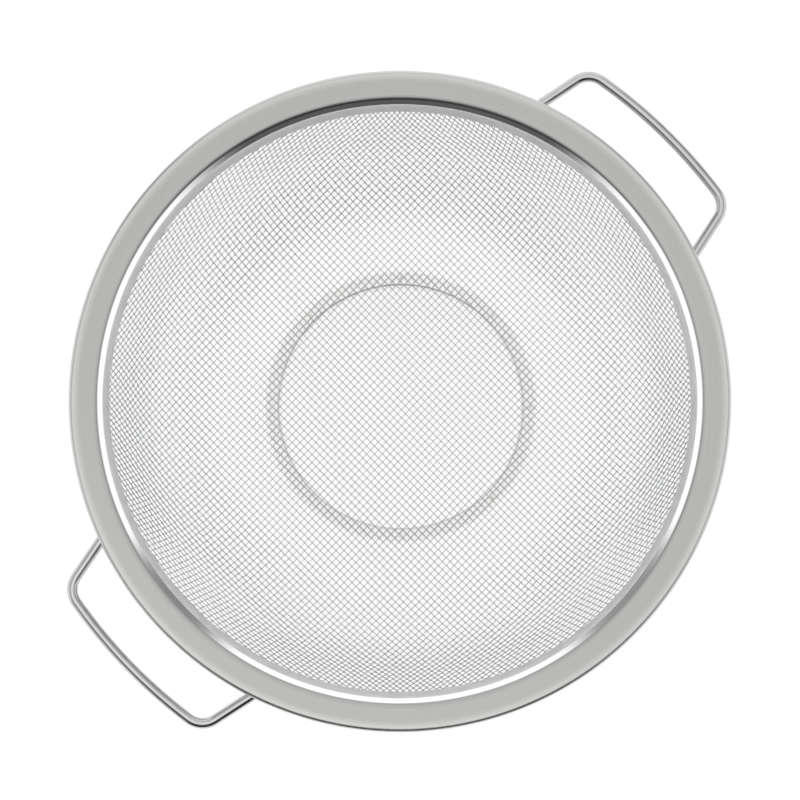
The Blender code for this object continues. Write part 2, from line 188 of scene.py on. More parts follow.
@dataclass(frozen=True)
class SteelFinish:
    """A bare steel surface: its two tints, its roughness and the fine marks that it carries.

    Marks that run in rings have a length as well as a width. A painted highlight can brighten the colour,
    more and more between two distances from the Z axis.
    """

    name: str
    dark: tuple[float, float, float]
    light: tuple[float, float, float]
    smoothest: float
    roughest: float
    grain: Grain
    mark_width: float
    mark_depth: float
    mark_length: float = 0.0
    mark_detail: float = 3.0
    mark_contrast: float = 0.6
    anisotropy: float = 0.0
    anisotropy_turn: float = 0.25
    # Painted highlight: the colour's gain, and the distances from the Z axis over which it grows
    painted_highlight_from: float = 0.0
    painted_highlight_to: float = 0.0
    painted_highlight_gain: float = 1.0

    def place(self, board: NodeBoard) -> bpy.types.NodeSocket:
        """Set out the coordinates in which the marks are all one unit wide and long.

        Args:
            board: The material's nodes.

        Returns:
            The coordinates' socket.
        """
        here = board.add("ShaderNodeTexCoord").outputs["Object"]
        if self.grain is Grain.CLOUDY:
            scaled = board.add("ShaderNodeVectorMath", operation="SCALE")
            board.join(here, scaled.inputs[0])
            scaled.inputs["Scale"].default_value = 1.0 / self.mark_width
            return scaled.outputs[0]
        parts = board.add("ShaderNodeSeparateXYZ")
        board.join(here, parts.inputs[0])
        across = board.math("ADD", board.radius(parts), parts.outputs[2])
        joined = board.add("ShaderNodeCombineXYZ")
        values = (parts.outputs[0], parts.outputs[1], across)
        units = (self.mark_length, self.mark_length, self.mark_width)
        for entry, value, size in zip(joined.inputs, values, units):
            board.join(board.math("DIVIDE", value, size), entry)
        return joined.outputs[0]

    def tint(self, board: NodeBoard, noise: bpy.types.NodeSocket) -> bpy.types.NodeSocket:
        """Go between the two tints with the noise, and brighten the colour where a highlight is painted.

        Args:
            board: The material's nodes.
            noise: The noise's socket.

        Returns:
            The colour's socket.
        """
        mix = board.add("ShaderNodeMix", data_type="RGBA")
        board.join(board.spread(noise, 0.0, 1.0), mix.inputs["Factor"])
        for entry in mix.inputs:
            if entry.type == "RGBA":
                tint = self.dark if entry.identifier.startswith("A") else self.light
                entry.default_value = (*tint, 1.0)
        color = next(out for out in mix.outputs if out.type == "RGBA")
        if self.painted_highlight_gain == 1.0:
            return color
        # Painted highlight: brighten the colour between two distances from the Z axis
        parts = board.add("ShaderNodeSeparateXYZ")
        board.join(board.add("ShaderNodeTexCoord").outputs["Object"], parts.inputs[0])
        gain = board.ramp(board.radius(parts), self.painted_highlight_from, self.painted_highlight_to, 1.0, self.painted_highlight_gain)
        highlighted = board.add("ShaderNodeVectorMath", operation="SCALE")
        board.join(color, highlighted.inputs[0])
        board.join(gain, highlighted.inputs["Scale"])
        return highlighted.outputs[0]

    def material(self) -> bpy.types.Material:
        """Make the material.

        Returns:
            A new material with this finish.
        """
        material, board = new_material(self.name)
        shader = board.shader
        shader.inputs["Metallic"].default_value = 1.0
        shader.inputs["Anisotropic"].default_value = self.anisotropy
        shader.inputs["Anisotropic Rotation"].default_value = self.anisotropy_turn
        noise = board.add("ShaderNodeTexNoise")
        noise.inputs["Scale"].default_value = 1.0
        noise.inputs["Detail"].default_value = self.mark_detail
        noise.inputs["Roughness"].default_value = self.mark_contrast
        board.join(self.place(board), noise.inputs["Vector"])
        value = noise.outputs[0]
        board.join(self.tint(board, value), shader.inputs["Base Color"])
        board.join(board.spread(value, self.smoothest, self.roughest), shader.inputs["Roughness"])
        bump = board.add("ShaderNodeBump")
        bump.inputs["Strength"].default_value = 1.0
        bump.inputs["Distance"].default_value = self.mark_depth
        board.join(value, bump.inputs["Height"])
        board.join(bump.outputs[0], shader.inputs["Normal"])
        return material


SATIN_FLANGE = SteelFinish(
    name="satin_flange",
    dark=(0.45, 0.45, 0.44),
    light=(0.50, 0.50, 0.49),
    smoothest=0.26,
    roughest=0.34,
    grain=Grain.ROUND,
    mark_width=0.0004,
    mark_length=0.0300,
    mark_depth=0.000003,
    anisotropy=0.4,
    # Painted highlight: the colour brightens over the flange's outer edge and curl, where the rounded metal
    # reflects more light
    painted_highlight_from=0.1205,
    painted_highlight_to=0.1243,
    painted_highlight_gain=1.36,
)
POLISHED_WALL = SteelFinish(
    name="polished_wall",
    dark=(0.86, 0.86, 0.86),
    light=(0.94, 0.94, 0.94),
    smoothest=0.08,
    roughest=0.14,
    grain=Grain.ROUND,
    mark_width=0.0005,
    mark_length=0.0400,
    mark_depth=0.000002,
)
MATTE_LIP = SteelFinish(
    name="matte_lip",
    dark=(0.75, 0.75, 0.74),
    light=(0.88, 0.88, 0.87),
    smoothest=0.42,
    roughest=0.56,
    grain=Grain.ROUND,
    mark_width=0.0014,
    mark_length=0.0060,
    mark_depth=0.00002,
    # Painted highlight: the colour brightens towards the top of the lip, at the bend under the polished wall
    painted_highlight_from=0.1108,
    painted_highlight_to=0.1127,
    painted_highlight_gain=1.13,
)
BRIGHT_WIRE = SteelFinish(
    name="bright_wire",
    dark=(0.48, 0.48, 0.48),
    light=(0.54, 0.54, 0.54),
    smoothest=0.22,
    roughest=0.32,
    grain=Grain.CLOUDY,
    mark_width=0.0008,
    mark_depth=0.000003,
)
POLISHED_WIRE = SteelFinish(
    name="polished_wire",
    dark=(0.56, 0.56, 0.56),
    light=(0.64, 0.64, 0.64),
    smoothest=0.15,
    roughest=0.23,
    grain=Grain.CLOUDY,
    mark_width=0.0050,
    mark_depth=0.000006,
)
SATIN_FOOT = SteelFinish(
    name="satin_foot",
    dark=(0.95, 0.95, 0.94),
    light=(1.00, 1.00, 0.99),
    smoothest=0.30,
    roughest=0.40,
    grain=Grain.ROUND,
    mark_width=0.0005,
    mark_length=0.0200,
    mark_depth=0.000006,
    anisotropy=0.3,
)
WELD_METAL = SteelFinish(
    name="weld_metal",
    dark=(0.64, 0.63, 0.61),
    light=(0.86, 0.85, 0.83),
    smoothest=0.40,
    roughest=0.62,
    grain=Grain.CLOUDY,
    mark_width=0.0007,
    mark_depth=0.00004,
)


class QuadMesh:
    """A mesh of quads, gathered as arrays and written in one go."""

    def __init__(self) -> None:
        """Start with nothing."""
        self.points: list[np.ndarray] = []
        self.quads: list[np.ndarray] = []
        self.looks: list[np.ndarray] = []
        self.count = 0

    def add(self, points: np.ndarray, quads: np.ndarray, looks: np.ndarray) -> None:
        """Add a form.

        Args:
            points: Its points, as rows of three.
            quads: Its faces, as rows of four places among its points.
            looks: The place of each face's material.
        """
        self.points.append(points.reshape(-1, 3))
        self.quads.append(quads + self.count)
        self.looks.append(looks)
        self.count += len(self.points[-1])

    def make(self, name: str, materials: list[bpy.types.Material]) -> bpy.types.Object:
        """Write the mesh.

        Args:
            name: The object's name.
            materials: Its materials, in the order of their places.

        Returns:
            The object, smooth but for its sharp edges, in the scene.
        """
        points = np.concatenate(self.points)
        quads = np.concatenate(self.quads)
        mesh = bpy.data.meshes.new(name)
        mesh.vertices.add(len(points))
        mesh.vertices.foreach_set("co", points.ravel())
        mesh.loops.add(quads.size)
        mesh.loops.foreach_set("vertex_index", quads.ravel())
        mesh.polygons.add(len(quads))
        mesh.polygons.foreach_set("loop_start", np.arange(0, quads.size, 4))
        mesh.polygons.foreach_set("material_index", np.concatenate(self.looks))
        mesh.update(calc_edges=True)
        mesh.validate()
        for material in materials:
            mesh.materials.append(material)
        mesh.shade_smooth()
        mesh.set_sharp_from_angle(angle=SHARP_ANGLE)
        piece = bpy.data.objects.new(name, mesh)
        bpy.context.scene.collection.objects.link(piece)
        return piece


def settle(piece: bpy.types.Object, nodes: tuple[str, ...]) -> None:
    """Let a piece ride on the strainer in place of its CAD nodes.

    Args:
        piece: The piece.
        nodes: The CAD nodes that it stands for.
    """
    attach(piece, BODY)
    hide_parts(*nodes)


def direction(angle: float) -> np.ndarray:
    """Return the unit step at this angle."""
    return np.array([math.cos(angle), math.sin(angle)])


def unit(vector: np.ndarray) -> np.ndarray:
    """Return the vectors in the last axis at length 1."""
    return vector / np.maximum(np.linalg.norm(vector, axis=-1, keepdims=True), TINY)


def arc(center: np.ndarray, radius: float, start: float, end: float, steps: int) -> np.ndarray:
    """Return the points of an arc, both ends included, with its angles in radians."""
    return np.array([center + radius * direction(angle) for angle in np.linspace(start, end, steps + 1)])


def rounded(
    before: np.ndarray, corner: np.ndarray, after: np.ndarray, radius: float, steps: int
) -> np.ndarray:
    """Round the corner between two straight runs.

    Args:
        before: A point on the first run.
        corner: Where the runs meet.
        after: A point on the second run.
        radius: The arc's radius.
        steps: The number of its steps.

    Returns:
        The points of the arc, from the first run to the second.
    """
    towards_start = unit(before - corner)
    towards_end = unit(after - corner)
    half_angle = math.acos(float(towards_start @ towards_end)) / 2
    tangent_length = radius / math.tan(half_angle)
    center = corner + unit(towards_start + towards_end) * radius / math.sin(half_angle)
    first = corner + towards_start * tangent_length - center
    last = corner + towards_end * tangent_length - center
    turn = math.atan2(first[0] * last[1] - first[1] * last[0], float(first @ last))
    start = math.atan2(first[1], first[0])
    return arc(center, radius, start, start + turn, steps)


def along_line_at_distance(
    start: np.ndarray, heading: np.ndarray, center: np.ndarray, distance: float
) -> np.ndarray:
    """Find the first point along a line that is this far from a center.

    Args:
        start: Where the line starts.
        heading: Its unit step.
        center: The center.
        distance: The distance from it.

    Returns:
        The point.
    """
    offset = start - center
    half_b = float(offset @ heading)
    root = math.sqrt(half_b**2 - float(offset @ offset) + distance**2)
    nearest = min(step for step in (-half_b - root, -half_b + root) if step > 0)
    return start + heading * nearest


@dataclass
class TurnedSheet:
    """A sheet-metal ring: a middle line with a thickness, spun about Z, and a look for each run of it."""

    name: str
    sheet: float
    segments: int = 288
    support: float = 0.00015
    long_run: float = 0.0006
    line: list[np.ndarray] = field(default_factory=list)
    looks: list[int] = field(default_factory=list)

    def run(self, points: np.ndarray, look: int = 0) -> None:
        """Carry the middle line on.

        Args:
            points: The points that it goes on through.
            look: The place of its material on the way.
        """
        for point in points:
            if self.line:
                self.looks.append(look)
            self.line.append(np.array(point))

    def supported(self) -> tuple[np.ndarray, list[int]]:
        """Set a point close to each end of the line's long runs, so that its bends shade true.

        Returns:
            The line with these points, and the look of each of its runs.
        """
        line = [self.line[0]]
        looks = []
        for index, look in enumerate(self.looks):
            start, end = self.line[index], self.line[index + 1]
            length = float(np.linalg.norm(end - start))
            if length > self.long_run:
                heading = (end - start) / length
                line += [start + heading * self.support, end - heading * self.support]
                looks += [look, look]
            line.append(end)
            looks.append(look)
        return np.array(line), looks

    def outline(self) -> tuple[np.ndarray, list[int]]:
        """Give the line its thickness.

        Returns:
            The closed outline of the sheet, counterclockwise, and the look of each of its sides.
        """
        line, looks = self.supported()
        steps = unit(np.diff(line, axis=0))
        sides = np.stack([-steps[:, 1], steps[:, 0]], axis=1)
        before = np.vstack([sides[:1], sides])
        after = np.vstack([sides, sides[-1:]])
        middle = unit(before + after)
        spread = middle / (middle * before).sum(axis=1, keepdims=True) * self.sheet / 2
        loop = np.vstack([line + spread, (line - spread)[::-1]])
        edges = looks + [looks[-1]] + looks[::-1] + [looks[0]]
        area = np.sum(loop[:, 0] * np.roll(loop[:, 1], -1) - np.roll(loop[:, 0], -1) * loop[:, 1])
        if area < 0:
            loop = loop[::-1]
            edges = edges[-2::-1] + edges[-1:]
        return loop, edges

    def make(self, materials: list[bpy.types.Material]) -> bpy.types.Object:
        """Spin the outline about Z.

        Args:
            materials: The ring's materials, in the order of their places.

        Returns:
            The ring.
        """
        loop, edges = self.outline()
        size = len(loop)
        turns = np.arange(self.segments) * math.tau / self.segments
        points = np.empty((self.segments, size, 3))
        points[..., 0] = np.cos(turns)[:, None] * loop[:, 0]
        points[..., 1] = np.sin(turns)[:, None] * loop[:, 0]
        points[..., 2] = loop[:, 1]
        here = np.arange(self.segments)[:, None] * size
        there = np.roll(here, -1, axis=0)
        this = np.arange(size)
        following = np.roll(this, -1)
        quads = np.stack([here + this, there + this, there + following, here + following], axis=-1)
        form = QuadMesh()
        form.add(points, quads.reshape(-1, 4), np.tile(np.array(edges), self.segments))
        return form.make(self.name, materials)


def tube(form: QuadMesh, path: np.ndarray, normals: np.ndarray, radii: np.ndarray, sides: int) -> None:
    """Add a round wire to a mesh, closed at both ends.

    Args:
        form: The mesh.
        path: The points of its middle line.
        normals: At each point a direction roughly square to the line, from which its sides are counted.
        radii: Its radius at each point.
        sides: Its even number of sides.
    """
    steps = unit(np.gradient(path, axis=0))
    across = unit(np.cross(normals, steps))
    upright = np.cross(steps, across)
    angles = np.arange(sides) * math.tau / sides
    ring = across[:, None] * np.cos(angles)[None, :, None] + upright[:, None] * np.sin(angles)[None, :, None]
    points = path[:, None] + ring * radii[:, None, None]
    here = np.arange(len(path) - 1)[:, None] * sides
    this = np.arange(sides)
    following = np.roll(this, -1)
    walls = np.stack([here + this, here + following, here + sides + following, here + sides + this], axis=-1)
    strip = np.arange(sides // 2 - 1)
    cap = np.stack([strip, strip + 1, sides - 2 - strip, sides - 1 - strip], axis=-1)
    quads = np.concatenate([walls.reshape(-1, 4), cap[:, ::-1], cap + (len(path) - 1) * sides])
    form.add(points, quads, np.zeros(len(quads), dtype=int))


@dataclass
class Section:
    """The strainer's cross-section, with the sizes of the CAD model."""

    rim_top: float
    rim_diameter: float = 0.250
    rim_sheet: float = 0.0008
    flange_width: float = 0.0103
    curl_height: float = 0.0030
    shoulder_radius: float = 0.0026
    rim_wall_slope: float = math.radians(45.0)
    rim_wall_drop: float = 0.00265
    lip_length: float = 0.0046
    lip_bend_radius: float = 0.0010
    clamp_sheet: float = 0.0005
    mesh_wire: float = 0.00038
    mesh_edge_inset: float = 0.0003
    wall_slope: float = math.radians(64.0)
    wall_length: float = 0.0235
    side_radius: float = 0.046
    floor_radius: float = 0.600
    fit_gap: float = 0.0003

    def __post_init__(self) -> None:
        """Work out the corners that the pieces share."""
        half_sheet = self.rim_sheet / 2
        self.down_slope = -direction(self.wall_slope)
        self.off_slope = direction(self.wall_slope + math.pi / 2)
        inner_edge = self.rim_diameter / 2 - self.flange_width
        shoulder_reach = inner_edge + half_sheet * math.tan(self.rim_wall_slope / 2)
        wall_width = (self.rim_wall_drop - half_sheet) / math.tan(self.rim_wall_slope)
        self.shoulder = np.array([shoulder_reach, self.rim_top - half_sheet])
        self.lip_corner = np.array([shoulder_reach - wall_width, self.rim_top - self.rim_wall_drop])
        self.mesh_offset = half_sheet + self.mesh_wire + self.fit_gap
        self.clamp_offset = self.mesh_offset + self.mesh_wire + self.clamp_sheet / 2 + self.fit_gap

    def under_lip(self, along: float, under: float) -> np.ndarray:
        """Return the point this far down the lip from its corner, and this far under its middle surface."""
        return self.lip_corner + self.down_slope * along - self.off_slope * under

    def beside_clamp(self, level: float, distance: float) -> np.ndarray:
        """Find a point beside the clamp ring's outer face.

        Args:
            level: The point's height.
            distance: How far it is off the face.

        Returns:
            The point.
        """
        under = self.clamp_offset + self.clamp_sheet / 2 + distance
        drop = self.lip_corner[1] - level - under * math.cos(self.wall_slope)
        return self.under_lip(drop / math.sin(self.wall_slope), under)


@dataclass
class Rim:
    """The spun rim: a satin flange with a curled edge, a polished wall and a matte lip over the mesh."""

    section: Section
    crown_radius: float = 0.0070
    crown_turn: float = math.radians(15.0)
    satin_turn: float = math.radians(32.0)
    curl_steps: int = 20
    bend_steps: int = 12

    def shoulder(self) -> np.ndarray:
        """Draw the way from the flange to the wall: a gentle crown, then the shoulder proper.

        Returns:
            Its points.
        """
        section = self.section
        radius = section.shoulder_radius - section.rim_sheet / 2
        crown_end = direction(math.pi / 2 + self.crown_turn)
        shoulder_end = direction(math.pi / 2 + section.rim_wall_slope)
        start = direction(math.pi / 2)
        travel = self.crown_radius * (crown_end - start) + radius * (shoulder_end - crown_end)
        flange_end = section.shoulder[0] - travel[0] + travel[1] / math.tan(section.rim_wall_slope)
        crown_center = np.array([flange_end, section.shoulder[1] - self.crown_radius])
        center = crown_center + (self.crown_radius - radius) * crown_end
        crown_angles = (math.pi / 2, math.pi / 2 + self.crown_turn)
        crown = arc(crown_center, self.crown_radius, *crown_angles, self.bend_steps)
        bend = arc(center, radius, crown_angles[1], math.pi / 2 + section.rim_wall_slope, self.bend_steps)
        return np.vstack([crown, bend[1:]])

    def build(self) -> list[bpy.types.Object]:
        """Build and dress the rim.

        Returns:
            Its one piece.
        """
        section = self.section
        curl_radius = (section.curl_height - section.rim_sheet) / 2
        curl_center = np.array(
            [section.rim_diameter / 2 - section.curl_height / 2, section.rim_top - section.curl_height / 2]
        )
        curl = arc(curl_center, curl_radius, -math.pi, math.pi / 2, self.curl_steps)
        lip_end = section.under_lip(section.lip_length, 0.0)
        shoulder = self.shoulder()
        slopes = np.diff(shoulder, axis=0)
        satin = 1 + int(np.sum(np.arctan2(-slopes[:, 1], -slopes[:, 0]) < self.satin_turn))
        to_lip = rounded(
            section.shoulder, section.lip_corner, lip_end, section.lip_bend_radius, self.bend_steps // 2
        )
        finishes = (SATIN_FLANGE, POLISHED_WALL, MATTE_LIP)
        flange_look, wall_look, lip_look = range(len(finishes))
        ring = TurnedSheet("rim_ring", section.rim_sheet)
        ring.run(curl, flange_look)
        ring.run(shoulder[:satin], flange_look)
        ring.run(shoulder[satin:], wall_look)
        ring.run(to_lip, wall_look)
        ring.run(lip_end[None], lip_look)
        piece = ring.make([finish.material() for finish in finishes])
        settle(piece, ("rim",))
        return [piece]


@dataclass
class ClampRing:
    """The band that holds the edge of the mesh up against the lip."""

    section: Section

    def build(self) -> list[bpy.types.Object]:
        """Build and dress the ring.

        Returns:
            Its one piece.
        """
        section = self.section
        top = section.under_lip(section.mesh_edge_inset, section.clamp_offset)
        foot = section.under_lip(section.lip_length, section.clamp_offset)
        ring = TurnedSheet("clamp_band", section.clamp_sheet)
        ring.run(np.array([top, foot]))
        piece = ring.make([MATTE_LIP.material()])
        settle(piece, ("clamp_ring",))
        return [piece]


@dataclass
class BowlSurface:
    """The middle surface of the mesh: a straight wall, a round side and a slightly domed floor."""

    section: Section

    def __post_init__(self) -> None:
        """Work out where the wall, the side and the floor meet."""
        section = self.section
        self.edge = section.under_lip(section.mesh_edge_inset, section.mesh_offset)
        self.slope_of_wall = math.tan(section.wall_slope)
        self.wall_end = section.under_lip(section.wall_length, section.mesh_offset)
        self.side_radius = section.side_radius
        self.side_center = self.wall_end + section.off_slope * section.side_radius
        between = section.floor_radius - section.side_radius
        turn = math.asin(self.side_center[0] / between)
        self.floor_radius = section.floor_radius
        self.floor_level = self.side_center[1] + between * math.cos(turn)
        self.floor_end = section.floor_radius * math.sin(turn)

    def joined(
        self, radius: np.ndarray, floor: np.ndarray, side: np.ndarray, wall: np.ndarray | float
    ) -> np.ndarray:
        """Return at each radius the value of the floor, the side or the wall, whichever it lies in."""
        return np.where(radius < self.floor_end, floor, np.where(radius < self.wall_end[0], side, wall))

    def height(self, radius: np.ndarray) -> np.ndarray:
        """Find how high the surface lies.

        Args:
            radius: The distances from the Z axis.

        Returns:
            The height at each.
        """
        on_floor = np.minimum(radius, self.floor_end)
        on_side = np.clip(radius, self.floor_end, self.wall_end[0]) - self.side_center[0]
        floor = self.floor_level - np.sqrt(self.floor_radius**2 - on_floor**2)
        side = self.side_center[1] - np.sqrt(self.side_radius**2 - on_side**2)
        wall = self.wall_end[1] + (radius - self.wall_end[0]) * self.slope_of_wall
        return self.joined(radius, floor, side, wall)

    def steepness(self, radius: np.ndarray) -> np.ndarray:
        """Find how much the surface rises per metre outwards.

        Args:
            radius: The distances from the Z axis.

        Returns:
            The rise at each.
        """
        on_floor = np.minimum(radius, self.floor_end)
        on_side = np.clip(radius, self.floor_end, self.wall_end[0]) - self.side_center[0]
        floor = on_floor / np.sqrt(self.floor_radius**2 - on_floor**2)
        side = on_side / np.sqrt(self.side_radius**2 - on_side**2)
        return self.joined(radius, floor, side, self.slope_of_wall)

    def lift(self, flat: np.ndarray) -> np.ndarray:
        """Return the points of the surface above these places in the plane."""
        radius = np.hypot(flat[..., 0], flat[..., 1])
        return np.concatenate([flat, self.height(radius)[..., None]], axis=-1)

    def gradient(self, flat: np.ndarray) -> np.ndarray:
        """Return the rise of the surface per metre along X and along Y at these places."""
        radius = np.maximum(np.hypot(flat[..., 0], flat[..., 1]), TINY)
        return (self.steepness(radius) / radius)[..., None] * flat

    def normal(self, flat: np.ndarray) -> np.ndarray:
        """Return the surface's upward normal at these places."""
        rise = self.gradient(flat)
        return unit(np.concatenate([-rise, np.ones_like(rise[..., :1])], axis=-1))


@dataclass
class PressedCloth:
    """Square wire cloth pressed on the bowl: its cells shear, and their sides keep their length.

    The slack, the fold and the longest move are shares of the pitch.
    """

    surface: BowlSurface
    pitch: float = 0.00223
    pole: tuple[float, float] = (-0.0274, -0.0262)
    turn: float = math.radians(1.34)
    skew: float = math.radians(-1.29)
    reach: int = 78
    widest: float = 0.122
    solver_steps: int = 8
    wire_solver_steps: int = 12
    slack: float = 0.0005
    fold: float = 0.25
    longest_move: float = 0.5

    def straight_wire(self, heading: np.ndarray) -> np.ndarray:
        """Lay a wire from the pole, so that it bends to neither side.

        Args:
            heading: The unit step, in the plane, with which it leaves the pole.

        Returns:
            Its crossings, with the pole first.
        """
        point = self.surface.lift(np.array(self.pole))
        step = unit(np.append(heading, self.surface.gradient(point[:2]) @ heading))
        points = [point]
        for _ in range(self.reach):
            side = np.cross(self.surface.normal(point[:2]), step)
            flat = point[:2] + step[:2] * self.pitch
            for _ in range(self.wire_solver_steps):
                reached = self.surface.lift(flat)
                rise = self.surface.gradient(flat)
                apart = reached - point
                wrong = np.array([apart @ apart - self.pitch**2, apart @ side])
                slides = np.array([[1.0, 0.0, rise[0]], [0.0, 1.0, rise[1]]])
                flat = flat - np.linalg.solve(np.array([2 * slides @ apart, slides @ side]), wrong)
            reached = self.surface.lift(flat)
            apart = reached - point
            normal = self.surface.normal(flat)
            step = unit(apart - (apart @ normal) * normal)
            point = reached
            points.append(point)
        return np.array(points)

    def next_crossings(self, beside: np.ndarray, below: np.ndarray, back: np.ndarray) -> np.ndarray:
        """Return the crossings that lie one pitch from both of two neighbours.

        Args:
            beside: The neighbours along the first wires.
            below: The neighbours along the second wires.
            back: The crossings opposite, from which the new ones lie away.

        Returns:
            The new crossings, not a number where the cloth can't reach.
        """
        flat = (beside + below - back)[:, :2]
        for _ in range(self.solver_steps):
            reached = self.surface.lift(flat)
            rise = self.surface.gradient(flat)
            apart = [reached - beside, reached - below]
            wrong = [(gap**2).sum(axis=1) - self.pitch**2 for gap in apart]
            slides = [2 * (gap[:, :2] + gap[:, 2:] * rise) for gap in apart]
            scale = slides[0][:, 0] * slides[1][:, 1] - slides[0][:, 1] * slides[1][:, 0]
            scale = np.where(np.abs(scale) < TINY, np.nan, scale)
            move = np.stack(
                [
                    wrong[0] * slides[1][:, 1] - wrong[1] * slides[0][:, 1],
                    wrong[1] * slides[0][:, 0] - wrong[0] * slides[1][:, 0],
                ],
                axis=1,
            ) / scale[:, None]
            length = np.linalg.norm(move, axis=1, keepdims=True)
            flat = flat - move * np.minimum(1.0, self.longest_move * self.pitch / np.maximum(length, TINY))
        reached = self.surface.lift(flat)
        gaps = [np.linalg.norm(reached - near, axis=1) - self.pitch for near in (beside, below)]
        off = np.abs(gaps[0]) + np.abs(gaps[1]) > self.slack * self.pitch
        folded = np.linalg.norm(reached - back, axis=1) < self.fold * self.pitch
        outside = np.hypot(flat[:, 0], flat[:, 1]) > self.widest
        reached[off | folded | outside | np.isnan(flat[:, 0])] = np.nan
        return reached

    def crossings(self) -> np.ndarray:
        """Lay the two straight wires through the pole, and from them outwards all the others.

        Returns:
            The crossings as a square grid of points, with the pole in its middle.
        """
        middle = self.reach
        grid = np.full((2 * middle + 1, 2 * middle + 1, 3), np.nan)
        first = direction(self.turn)
        second = direction(self.turn + self.skew + math.pi / 2)
        for sign in (1, -1):
            grid[middle :: sign, middle] = self.straight_wire(sign * first)
            grid[middle, middle :: sign] = self.straight_wire(sign * second)
        for ahead in (1, -1):
            for aside in (1, -1):
                for total in range(2, 2 * middle + 1):
                    i = np.arange(max(1, total - middle), min(middle, total - 1) + 1)
                    j = total - i
                    beside = grid[middle + ahead * (i - 1), middle + aside * j]
                    below = grid[middle + ahead * i, middle + aside * (j - 1)]
                    back = grid[middle + ahead * (i - 1), middle + aside * (j - 1)]
                    reached = self.next_crossings(beside, below, back)
                    grid[middle + ahead * i, middle + aside * j] = reached
        return grid


@dataclass
class WovenBowl:
    """The wire bowl, woven one over and one under.

    Halfway between two crossings a wire lies at the near share of both, less the far share of the next two.
    """

    section: Section
    sides: int = 6
    fewest_points: int = 3
    near_share: float = 9 / 16
    far_share: float = 1 / 16

    def __post_init__(self) -> None:
        """Take the surface that the wires lie on."""
        self.surface = BowlSurface(self.section)

    def path(self, crossings: np.ndarray, first_up: int) -> tuple[np.ndarray, np.ndarray]:
        """Lead a wire over and under the others by turns.

        Args:
            crossings: Its crossings with the other wires.
            first_up: 1 where it passes over at the first crossing, otherwise -1.

        Returns:
            The points of its middle line, and the surface's normal at each.
        """
        flat = crossings[:, :2]
        padded = np.vstack([2 * flat[0] - flat[1], flat, 2 * flat[-1] - flat[-2]])
        between = self.near_share * (padded[1:-2] + padded[2:-1])
        between = between - self.far_share * padded[:-3] - self.far_share * padded[3:]
        line = np.empty((2 * len(flat) - 1, 2))
        line[::2] = flat
        line[1::2] = between
        rise = np.zeros(len(line))
        rise[::2] = first_up * self.section.mesh_wire / 2 * (-1.0) ** np.arange(len(flat))
        normals = self.surface.normal(line)
        return self.surface.lift(line) + normals * rise[:, None], normals

    def at_edge(self, path: np.ndarray, reach: np.ndarray, place: int) -> np.ndarray:
        """Return the point at the edge of the mesh between the line's points at this place and the next."""
        share = (self.surface.edge[0] - reach[place]) / (reach[place + 1] - reach[place])
        return (path[place] + share * (path[place + 1] - path[place]))[None]

    def trimmed(self, path: np.ndarray, normals: np.ndarray) -> list[tuple[np.ndarray, np.ndarray]]:
        """Cut a wire at the edge of the mesh.

        Args:
            path: The points of its middle line.
            normals: The surface's normal at each.

        Returns:
            The points and the normals of each stretch inside the edge.
        """
        reach = np.hypot(path[:, 0], path[:, 1])
        inside = reach < self.surface.edge[0]
        changes = np.flatnonzero(np.diff(np.concatenate([[False], inside, [False]]).astype(int)))
        stretches = []
        for start, end in zip(changes[::2], changes[1::2]):
            points = [path[start:end]]
            if start > 0:
                points.insert(0, self.at_edge(path, reach, start - 1))
            if end < len(path):
                points.append(self.at_edge(path, reach, end - 1))
            line = np.concatenate(points)
            if len(line) >= self.fewest_points:
                low = max(start - 1, 0)
                stretches.append((line, normals[low : low + len(line)]))
        return stretches

    def weave(
        self, grid: np.ndarray, phase: int, names: tuple[str, ...], look: bpy.types.Material
    ) -> list[bpy.types.Object]:
        """Build the wires that run along the grid's first axis, in as many pieces as there are names.

        Args:
            grid: The crossings of all wires.
            phase: 1 or -1, the side on which the pole's own wire passes its first crossing.
            names: The pieces' names.
            look: Their material.

        Returns:
            The pieces.
        """
        pieces = []
        columns = np.array_split(np.arange(grid.shape[1]), len(names))
        for name, part in zip(names, columns):
            form = QuadMesh()
            for column in part:
                there = np.flatnonzero(~np.isnan(grid[:, column, 0]))
                if len(there) < self.fewest_points:
                    continue
                first_up = phase * (1 if (there[0] + column) % 2 else -1)
                path, normals = self.path(grid[there, column], first_up)
                for line, square in self.trimmed(path, normals):
                    radii = np.full(len(line), self.section.mesh_wire / 2)
                    tube(form, line, square, radii, self.sides)
            piece = form.make(name, [look])
            settle(piece, ("mesh_bowl",))
            pieces.append(piece)
        return pieces

    def build(self) -> list[bpy.types.Object]:
        """Build and dress the wires.

        Returns:
            The pieces that they are gathered in.
        """
        grid = PressedCloth(self.surface).crossings()
        look = BRIGHT_WIRE.material()
        along = self.weave(grid, 1, ("mesh_wires_along_a", "mesh_wires_along_b"), look)
        turned = grid.transpose(1, 0, 2)
        across = self.weave(turned, -1, ("mesh_wires_across_a", "mesh_wires_across_b"), look)
        return along + across


